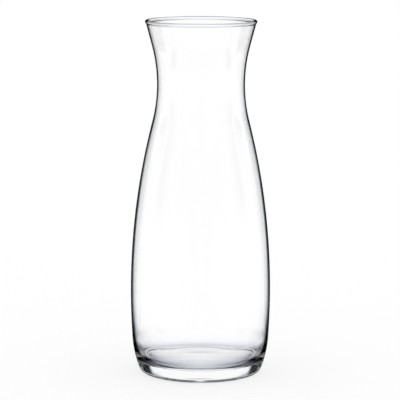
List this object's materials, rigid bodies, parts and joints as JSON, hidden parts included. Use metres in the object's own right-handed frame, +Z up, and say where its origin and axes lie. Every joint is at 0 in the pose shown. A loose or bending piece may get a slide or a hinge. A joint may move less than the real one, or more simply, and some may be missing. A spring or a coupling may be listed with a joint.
{
  "type": "carafe",
  "caption": "Clear glass table carafe, blown in one piece: thick base, full belly, long sloping shoulder, narrow neck and flared pouring rim.",
  "frame": {"origin": "middle of the flat ring that the carafe stands on, in the plane of the table", "axes": "+Z up along the carafe's own axis; the carafe is round, so +X and +Y are any two square directions"},
  "size_m": [0.0988, 0.0988, 0.25],
  "materials": {
    "clear_glass": "clear soda-lime glass, fire-polished"
  },
  "bodies": {
    "root": {"base": "clear_glass", "belly": "clear_glass", "shoulder": "clear_glass", "neck": "clear_glass", "rim": "clear_glass"}
  },
  "joints": []
}
